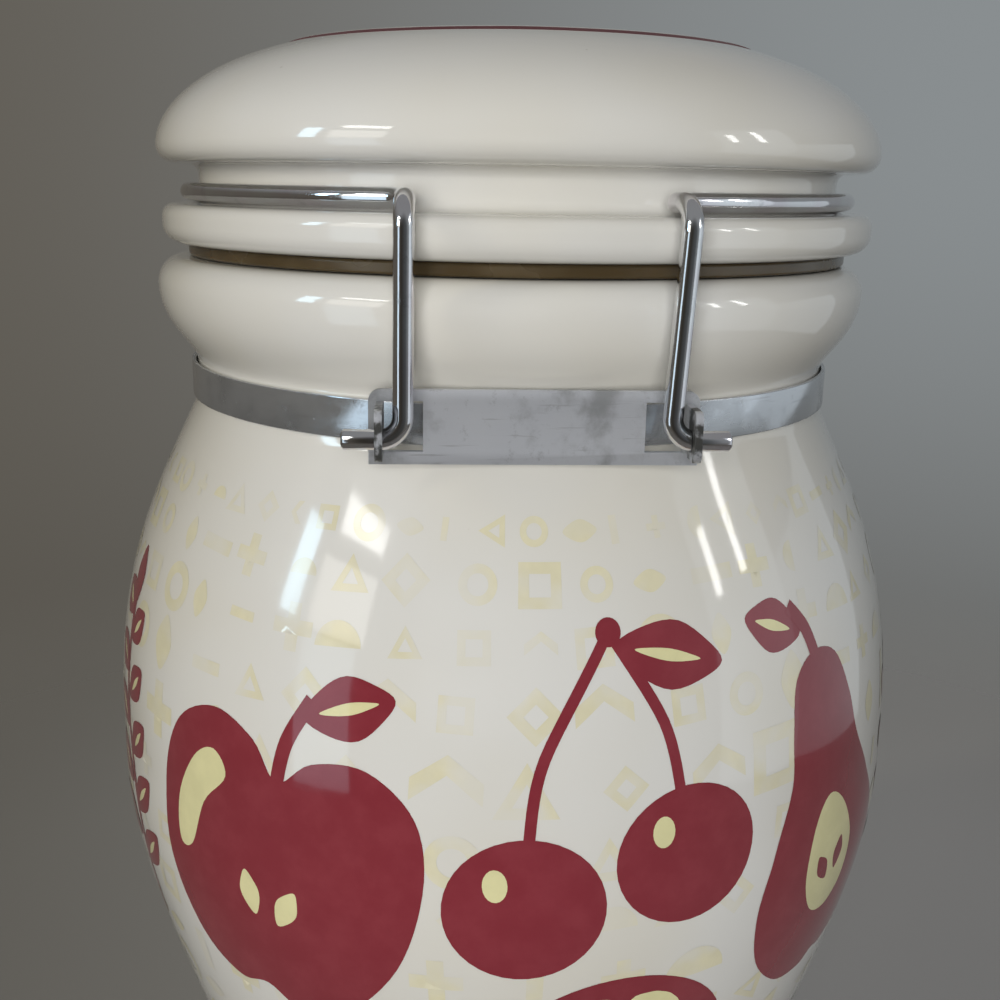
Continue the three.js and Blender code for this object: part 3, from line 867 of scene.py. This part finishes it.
def apple():
    half = [(0, 15), (5, 19.5), (13, 21), (20.5, 16), (23, 6), (21, -7), (14, -18), (6, -21.5), (0, -19.5)]
    body = smoothLoop(mirrored(half))
    shine = smoothLoop([(-16, 12), (-12, 15), (-9, 12), (-13, 6), (-15, -2), (-18, -3), (-19, 4)])
    seeds = [leaf(-1.5, -7, 7, 3.6, 110), leaf(2.5, -7, 7, 3.6, 70)]
    stem = stroke([(0, 13.5), (0.6, 21), (3.4, 28)], 2.2)
    sprout = leaf(2.4, 25.5, 14, 8.5, 24)
    vein = leaf(4.8, 26.6, 9, 1.6, 24)
    return [[body, shine, *seeds], [stem], [sprout, vein]], [[shine], [seeds[0]], [seeds[1]], [vein]]


def pear():
    half = [
        (0, 28), (5.5, 25.5), (8, 18), (9.5, 10), (14, 1),
        (18, -8), (17.5, -18), (11.5, -26), (4, -28.5), (0, -27.5)]
    body = smoothLoop(mirrored(half))
    core = smoothLoop(mirrored([(0, 4), (4.5, 0), (7, -8), (5, -15), (0, -17.5)]))
    stem = stroke([(0, 27.5), (-1, 32), (-3.5, 36)], 2.3)
    sprout = leaf(-2.2, 31.8, 12, 7.5, 152)
    vein = leaf(-4.4, 33.0, 7.4, 1.5, 152)
    pips = [leaf(-1.4, -11, 5.6, 3.0, 112), leaf(1.4, -11, 5.6, 3.0, 68)]
    return [[body, core], [stem], [sprout, vein], [pips[0]], [pips[1]]], [[core, *pips], [vein]]


def cherries():
    left, right = disc(-12, -15, 11.5, 40, 1.04), disc(13, -10, 11, 40, 1.04)
    gleams = [disc(-16, -10.5, 2.6, 20, 0.7), disc(9, -5.5, 2.5, 20, 0.7)]
    stems = [stroke([(-11, -5), (-8, 8), (2.4, 24)], 1.7), stroke([(12, -0.5), (10, 11), (3.2, 24)], 1.7)]
    sprout = leaf(3.6, 22.5, 18, 9.5, -16)
    vein = leaf(6.6, 21.6, 11, 1.7, -16)
    knot = disc(2.8, 24.4, 2.0)
    return [[left, gleams[0]], [right, gleams[1]], [stems[0]], [stems[1]], [sprout, vein], [knot]], [
        [gleams[0]], [gleams[1]], [vein]]


# Leaves that stand in pairs on the stem, each shorter than the last
twig = {
    "pairs": 5, "first": -24, "step": 12, "stagger": 5, "turns": ((1, 38), (-1, 142)), "stand": 0.6,
    "length": 15, "shrink": 1.2, "width": 7.6, "veinStart": 0.24, "veinShare": 0.54, "veinWidth": 1.4,
}


def sprig():
    parts, fills = [[stroke([(0, -37), (1.5, -14), (-1, 10), (0.5, 34)], 1.8)]], []
    for i in range(twig["pairs"]):
        level = twig["first"] + twig["step"] * i
        size = twig["length"] - twig["shrink"] * i
        for side, turn in twig["turns"]:
            x = side * twig["stand"]
            y = level + (0 if side > 0 else twig["stagger"])
            inset = twig["veinStart"] * size
            start = (x + inset * math.cos(rad(turn)), y + inset * math.sin(rad(turn)))
            vein = leaf(*start, size * twig["veinShare"], twig["veinWidth"], turn)
            parts.append([leaf(x, y, size, twig["width"], turn), vein])
            fills.append([vein])
    parts.append([leaf(0.4, 31, 12, 6.5, 88)])
    return parts, fills


def citrus():
    rim = disc(0, 0, 20, 60)
    outline = [
        (4.0, 0), (9, 3.3), (14.5, 4.6), (16.5, 2.2),
        (16.9, 0), (16.5, -2.2), (14.5, -4.6), (9, -3.3)]
    count = 8
    wedges = []
    for i in range(count):
        turn = 360 * (i + 0.5) / count
        wedges.append(smoothLoop(spun(outline, turn), fruitPrint["smallSteps"]))
    return [[rim, *wedges]], [[wedge] for wedge in wedges]


# Where each motif stands: turn from the hinge side in degrees, height, tilt and scale
fruitPlaces = [
    (sprig, -66, 98, 6, 0.95), (apple, -33, 91, -8, 1.25), (cherries, 8, 110, 4, 1.15),
    (citrus, 12, 55, 0, 1.1), (pear, 44, 96, 10, 1.2), (sprig, 72, 80, 2, 0.95),
    (citrus, 98, 116, 0, 1.0), (apple, 119, 66, 10, 1.15), (pear, 158, 96, -8, 1.1),
    (cherries, -172, 66, 0, 1.1), (sprig, -142, 92, 5, 0.95), (citrus, -116, 62, 0, 1.0),
    (pear, -90, 88, 8, 1.0),
]
# Height and size of each row of pale shapes
faintRows = [
    (153.5, 5.5), (145.5, 8), (136, 8.5), (125.5, 10), (113, 12.5), (100.5, 9.5), (89.5, 10),
    (77, 12.5), (65, 9), (54, 10.5), (42, 11), (31, 9), (21, 8),
]


faintKinds = ("ring", "bar", "half disc", "diamond", "square", "leaf", "cross", "triangle", "chevron")
# How the pale shapes change along a row, so that no two rows look alike
scatter = {
    "spacing": 1.24, "rowSkip": 4, "skip": 5, "run": 9,
    "size": 0.84, "sizeDrift": 0.2, "sizeWave": 1.7, "rowWave": 2.3,
    "turnDrift": 0.1, "turnWave": 2.1, "alike": 3, "tiltDrift": 4, "tiltWave": 0.9,
}


def faintShape(kind, size):
    def scaled(points, share=1.0):
        return [Vector((a * size * share, b * size * share)) for a, b in points]

    if kind == "ring":
        return [disc(0, 0, size * 0.5, 28), disc(0, 0, size * 0.27, 28)]
    if kind == "bar":
        return [block(0, 0, size * 0.3, size)]
    if kind == "half disc":
        return [[spot for spot in disc(0, -size * 0.22, size * 0.5, 36) if spot.y >= -size * 0.221]]
    if kind == "diamond":
        return [block(0, 0, size * 0.7, size * 0.7, 45), block(0, 0, size * 0.3, size * 0.3, 45)]
    if kind == "square":
        return [block(0, 0, size * 0.88, size * 0.88), block(0, 0, size * 0.44, size * 0.44)]
    if kind == "leaf":
        return [leaf(-size / 2, 0, size, size * 0.6, 0)]
    if kind == "cross":
        return [scaled((
            (-0.15, -0.48), (0.15, -0.48), (0.15, -0.15), (0.48, -0.15), (0.48, 0.15), (0.15, 0.15),
            (0.15, 0.48), (-0.15, 0.48), (-0.15, 0.15), (-0.48, 0.15), (-0.48, -0.15), (-0.15, -0.15)))]
    if kind == "triangle":
        triangle = ((-0.5, -0.4), (0.5, -0.4), (0, 0.47))
        return [scaled(triangle), [spot - Vector((0, size * 0.05)) for spot in scaled(triangle, 0.42)]]
    return [scaled((
        (-0.5, -0.18), (0, 0.22), (0.5, -0.18), (0.5, 0.14), (0, 0.5), (-0.5, 0.14)))]


def faintShapes():  # close rows of mixed shapes all round the jar
    patches = []
    for row, (level, size) in enumerate(faintRows):
        girth = 2 * math.pi * surfaceRadius(level * mm) / mm
        count = int(girth / (size * scatter["spacing"]))
        for i in range(count):
            kind = row * scatter["rowSkip"] + i * scatter["skip"] + i // scatter["run"]
            wave = math.sin(scatter["sizeWave"] * i + scatter["rowWave"] * row)
            scale = size * (scatter["size"] + scatter["sizeDrift"] * wave)
            turn = 360 * (i + scatter["turnDrift"] * math.sin(scatter["turnWave"] * i + row)) / count
            sway = scatter["tiltDrift"] * math.sin(scatter["tiltWave"] * i)
            tilt = 90 * (i // scatter["alike"] % 2) + sway
            patches.append((faintShape(faintKinds[kind % len(faintKinds)], scale), turn, level, tilt))
    return patches


def printMesh(name, patches, lift, layers=1):
    whole = bmesh.new()
    normals = []
    for patch, (loops, turn, level, tilt) in enumerate(patches):
        reach = lift + patch % layers * fruitPrint["layer"]
        tilted = Matrix.Rotation(rad(tilt), 2)
        placed = [[tilted @ spot for spot in loop] for loop in loops]
        flat = bmesh.new()
        corners = [flat.verts.new((spot.x * mm, spot.y * mm, 0)) for loop in placed for spot in loop]
        solidLoops = [[Vector((spot.x, spot.y, 0)) for spot in loop] for loop in placed]
        for face in tessellate_polygon(solidLoops):
            trio = [corners[k] for k in face]
            if not flat.faces.get(trio):
                flat.faces.new(trio)
        cell = fruitPrint["cell"]
        for axis in range(2):
            low = min(v.co[axis] for v in flat.verts)
            high = max(v.co[axis] for v in flat.verts)
            for step in range(math.ceil(low / cell), math.floor(high / cell) + 1):
                spot, away = [0, 0, 0], [0, 0, 0]
                spot[axis], away[axis] = step * cell, 1
                bmesh.ops.bisect_plane(
                    flat, geom=flat.verts[:] + flat.edges[:] + flat.faces[:], dist=fruitPrint["cut"],
                    plane_co=spot, plane_no=away)
        middle = surfaceRadius(level * mm)
        moved = {}
        for vert in flat.verts:
            height = level * mm + vert.co.y
            angle = rad(turn) + vert.co.x / middle
            radius = surfaceRadius(height)
            slope = (surfaceRadius(height + mm) - surfaceRadius(height - mm)) / (2 * mm)
            away = Vector((math.sin(angle), -math.cos(angle), -slope)).normalized()
            spot = Vector((math.sin(angle) * radius, -math.cos(angle) * radius, height)) + away * reach
            moved[vert] = whole.verts.new(spot)
            normals.append(away)
        for face in flat.faces:
            made = whole.faces.new([moved[v] for v in face.verts])
            made.normal_update()
            if made.normal.dot(normals[-1]) < 0 and made.normal.dot(made.calc_center_median()) < 0:
                made.normal_flip()
        flat.free()
    mesh = bpy.data.meshes.new(name)
    whole.to_mesh(mesh)
    whole.free()
    smoothFaces(mesh)
    mesh.normals_split_custom_set_from_vertices(normals)
    return mesh


def makePrintInk(name, colour, drift, wear=0.0):  # ink under the same glaze
    shader = Shader(name)
    plain, roughness, skin = glazeParts(shader)
    patchy = shader.noise(ink["patchSize"], detail=4.0, roughness=0.6).ramp(*ink["patchRange"])
    paler = [min(1, c * ink["paler"] + ink["lighter"]) for c in colour]
    tone = shader.blend(patchy * drift, colour, paler)
    if wear:
        worn = shader.noise(ink["wearSize"], detail=3.0, roughness=0.6).ramp(*ink["wearRange"])
        tone = shader.blend(worn * wear, tone, plain)
    return finishGlaze(shader, tone, roughness, skin)


def makePrint():
    fruit, fills = [], []
    for motif, turn, level, tilt, scale in fruitPlaces:
        for target, groups in zip((fruit, fills), motif()):
            for loops in groups:
                target.append(([[spot * scale for spot in loop] for loop in loops], turn, level, tilt))
    crimson = makePrintInk("crimsonInk", fruitPrint["crimson"], ink["crimsonDrift"])
    yellow = makePrintInk("yellowInk", fruitPrint["yellow"], ink["yellowDrift"])
    faint = makePrintInk("faintInk", fruitPrint["faint"], ink["faintDrift"], ink["faintWear"])
    mesh = printMesh("print_crimson", fruit, fruitPrint["lift"], fruitPrint["layers"])
    addPiece("print_crimson", mesh, "jar", crimson)
    mesh = printMesh("print_yellow", fills, fruitPrint["lift"])
    addPiece("print_yellow", mesh, "jar", yellow)
    mesh = printMesh("print_faint", faintShapes(), fruitPrint["faintLift"])
    addPiece("print_faint", mesh, "jar", faint)


makePrint()
print("print laid")


# Light: a plain room, a tall paned window on each side and soft lamps from left, front and back
room = {
    "left": (0.121, 0.110, 0.092),
    "right": (0.250, 0.270, 0.279),
    "above": (0.27, 0.275, 0.28),
    "sideFade": (-0.42, 0.42),
    "lowFade": (-0.6, 0.05),
    "highFade": (0.12, 0.7),
    "lowShade": 0.72,
    "frontDark": 0.68,  # the dim side behind the camera, seen only in reflections
    "frontFade": (0.6, 0.95),
    "shadeDim": 0.5,  # share of its light that diffuse surfaces go without
}
# The floor's dim colour is painted shade on its left side
ground = {
    "side": 1.0, "colour": (0.30, 0.295, 0.29), "dim": (0.17, 0.16, 0.14), "leftShadeFade": (-0.2, 0.1),
    "fade": (0.16, 0.45), "roughness": 0.6,
}
# Lamps seen only by glossy rays or only by diffuse ones: turn from the front and rise in degrees,
# as seen from the neck, and how bright each looks
softLights = {
    "gloss": {
        "leftPane": {"turn": (-70, -64), "rise": (9, 25), "glow": 8.0, "colour": (0.58, 0.84, 1.0)},
        "leftWide": {"turn": (-60, -42), "rise": (8, 22), "glow": 2.4, "colour": (1.0, 0.985, 0.93)},
        "leftBand": {"turn": (-58, -42), "rise": (26, 30), "glow": 8.0, "colour": (1.0, 1.0, 0.97)},
        "leftDim": {"turn": (-60, -44), "rise": (-22, 7), "glow": 1.25, "colour": (0.68, 0.86, 1.0)},
        "rightPane": {"turn": (60, 62.5), "rise": (13, 24), "glow": 9.0, "colour": (1.0, 1.0, 0.97)},
        "rightEdge": {"turn": (70.5, 73), "rise": (14, 27), "glow": 9.0, "colour": (1.0, 1.0, 0.97)},
        "rightFar": {"turn": (84, 116), "rise": (-22, 12), "glow": 0.36, "colour": (0.84, 0.93, 1.0)},
        "rightDim": {"turn": (56, 84), "rise": (-22, 30), "glow": 0.6, "colour": (0.84, 0.93, 1.0)},
    },
    "shade": {
        "side": {"turn": (-77, -71), "rise": (12, 32), "glow": 12.0, "colour": (1.0, 0.92, 0.70)},
        "back": {"turn": (158, 202), "rise": (0, 40), "glow": 3.4, "colour": (1.0, 1.0, 0.985)},
        "fill": {"turn": (-27, 7), "rise": (-8, 24), "glow": 7.3, "colour": (1.0, 1.0, 1.0)},
    },
}
lightReach = 1.5
lightAim = Vector((0, 0, 0.17))


def addLight(name, spec, only):
    turn = rad(sum(spec["turn"]) / 2)
    rise = rad(sum(spec["rise"]) / 2)
    data = bpy.data.lights.new(name, "AREA")
    data.shape = "RECTANGLE"
    data.size = 2 * lightReach * math.cos(rise) * math.tan(rad(spec["turn"][1] - spec["turn"][0]) / 2)
    data.size_y = 2 * lightReach * math.tan(rad(spec["rise"][1] - spec["rise"][0]) / 2)
    data.energy = spec["glow"] * math.pi * data.size * data.size_y
    data.color = spec["colour"]
    lamp = bpy.data.objects.new(name, data)
    bpy.context.collection.objects.link(lamp)
    away = Vector((math.sin(turn) * math.cos(rise), -math.cos(turn) * math.cos(rise), math.sin(rise)))
    lamp.matrix_world = Matrix.Translation(lightAim + away * lightReach) @ (
        (-away).to_track_quat("-Z", "Y").to_matrix().to_4x4())
    lamp.visible_glossy = only == "gloss"  # the window panes show only as reflections
    lamp.visible_diffuse = only == "shade"  # and the soft lamps leave no patch in the glaze


def makeRoom():
    world = bpy.data.worlds.new("room")
    bpy.context.scene.world = world
    shader = Shader(world)
    x, y, z = shader.split(shader.node("ShaderNodeTexCoord", out="Generated"))
    seen = shader.node("ShaderNodeLightPath", out="Is Camera Ray")
    low = shader.blend(x.ramp(*room["sideFade"]), room["left"], room["right"])
    low = shader.blend(z.ramp(*room["lowFade"]), [c * room["lowShade"] for c in room["left"]], low)
    colour = shader.blend(z.ramp(*room["highFade"]), low, room["above"])
    front = (0 - y).ramp(*room["frontFade"]) * (1 - seen) * room["frontDark"]
    dim = shader.node("ShaderNodeLightPath", out="Is Diffuse Ray") * room["shadeDim"]
    back = shader.node("ShaderNodeBackground", None, {"Color": colour, "Strength": (1 - front) * (1 - dim)})
    shader.node("ShaderNodeOutputWorld", None, {"Surface": back}, out=None)


def makeFloor():  # pale, and it fades into the room a little way behind the jar
    mesh = bpy.data.meshes.new("floor")
    side = ground["side"]
    corners = [(-side, -side, 0), (side, -side, 0), (side, side, 0), (-side, side, 0)]
    mesh.from_pydata(corners, [], [(0, 1, 2, 3)])
    floor = bpy.data.objects.new("floor", mesh)
    bpy.context.collection.objects.link(floor)
    shader = Shader("floorPaint")
    x, y = shader.split(shader.place())[:2]
    across = (x ** 2.0 + y ** 2.0) ** 0.5
    kept = across.ramp(*ground["fade"], toLow=1.0, toHigh=0.0)
    # painted shade: the floor's colour turns to its dim colour towards the left
    colour = shader.blend(x.ramp(*ground["leftShadeFade"]), ground["dim"], ground["colour"])
    mesh.materials.append(shader.finish(Base_Color=colour, Roughness=ground["roughness"], Alpha=kept))


makeRoom()
makeFloor()
for only, lamps in softLights.items():
    for name, spec in lamps.items():
        addLight(name, spec, only)
bpy.context.scene.view_settings.view_transform = "Standard"
print("stage set")
